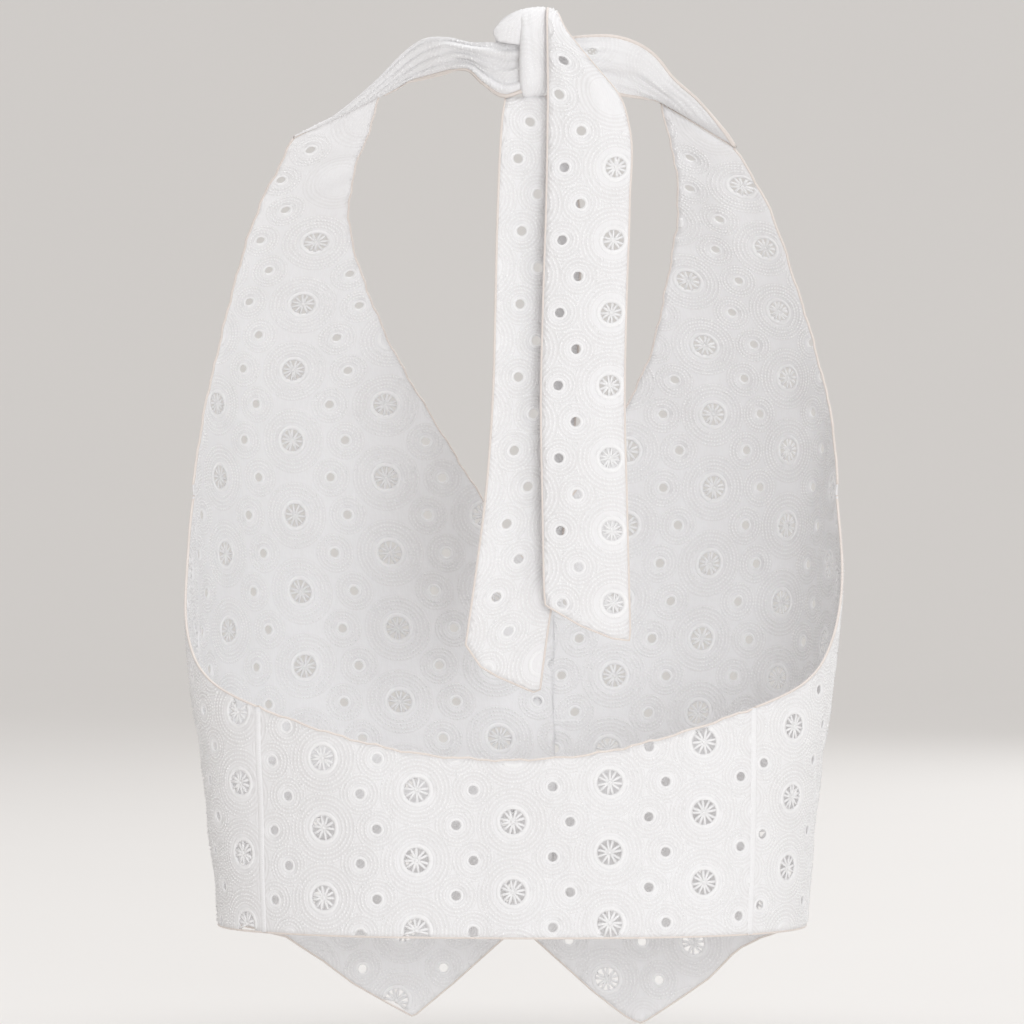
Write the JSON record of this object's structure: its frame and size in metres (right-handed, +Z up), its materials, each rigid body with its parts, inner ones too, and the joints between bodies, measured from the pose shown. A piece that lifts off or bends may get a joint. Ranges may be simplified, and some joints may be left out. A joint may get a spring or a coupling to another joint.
{
  "type": "halter waistcoat",
  "caption": "Sleeveless halter waistcoat in white eyelet cotton: pointed button fronts, a straight band across an open back, and ties knotted at the nape.",
  "frame": {"origin": "where the ties rest on the nape, at the back of the neck just inside the knot", "axes": "+Z up, +Y the way the wearer faces, +X to the wearer's right"},
  "size_m": [0.3314, 0.2244, 0.5093],
  "materials": {
    "cotton": "white plain-woven cotton with round cutwork wheels and small eyelets in satin stitch, soft matte sheen",
    "shell": "white turned button with four holes, pearly polish"
  },
  "bodies": {
    "root": {"front_left": "cotton", "front_right": "cotton", "side_left": "cotton", "side_right": "cotton", "back_band": "cotton", "strap_left": "cotton", "strap_right": "cotton", "knot_wrap": "cotton", "tail_right": "cotton", "tail_left": "cotton", "button_top": "shell", "button_middle": "shell", "button_bottom": "shell"}
  },
  "joints": []
}
